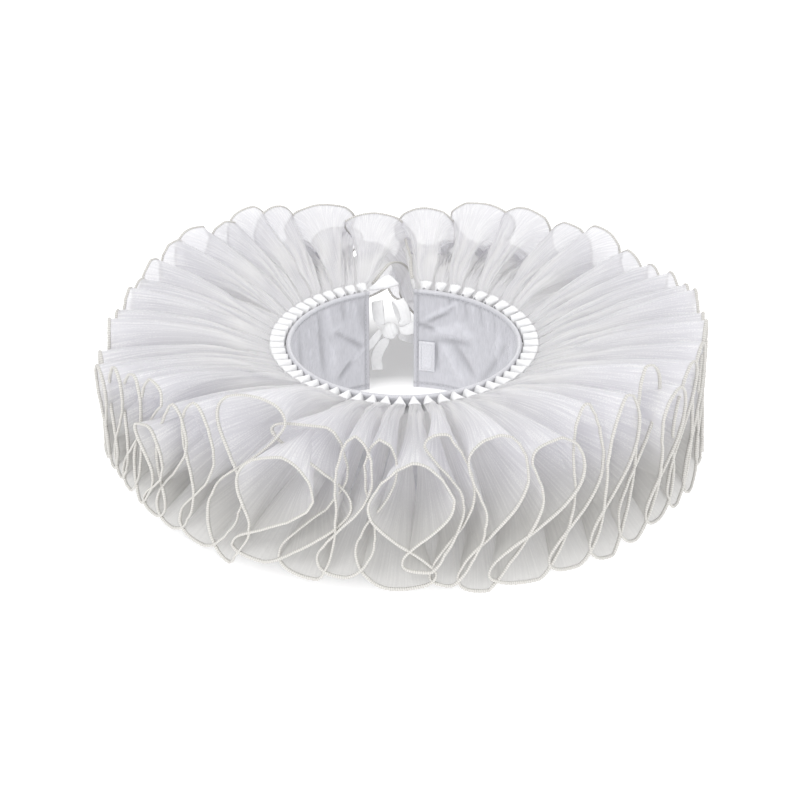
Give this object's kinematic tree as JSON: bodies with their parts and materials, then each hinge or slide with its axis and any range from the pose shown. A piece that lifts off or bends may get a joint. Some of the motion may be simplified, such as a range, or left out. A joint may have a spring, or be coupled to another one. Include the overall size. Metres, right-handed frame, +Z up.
{
  "type": "detachable ruff collar",
  "caption": "Detachable ruff collar: a standing satin neckband tied at the back, a pleated heading and a wide organza ruffle set in figure-of-eight folds.",
  "frame": {"origin": "on the table, under the middle of the ruffle's outline", "axes": "+Z up, -Y towards the front of the collar, +Y towards the tied opening at the back, +X to the right in the front view"},
  "size_m": [0.3162, 0.3124, 0.0925],
  "materials": {
    "lilac_satin": "pale lilac-grey satin, soft sheen, light creases",
    "white_satin": "white satin ribbon, pressed pleats, soft sheen",
    "white_organza": "sheer crisp white organza with a glassy sparkle and a cream overlocked edge"
  },
  "bodies": {
    "root": {"neckband": "lilac_satin", "sewn_patch": "lilac_satin", "pleated_heading": "white_satin", "ruffle": "white_organza", "tie_left": "white_satin", "tie_right": "white_satin", "tie_knot": "white_satin", "bow_loop_left": "white_satin", "bow_loop_right": "white_satin", "tie_tail_left": "white_satin", "tie_tail_right": "white_satin"}
  },
  "joints": []
}
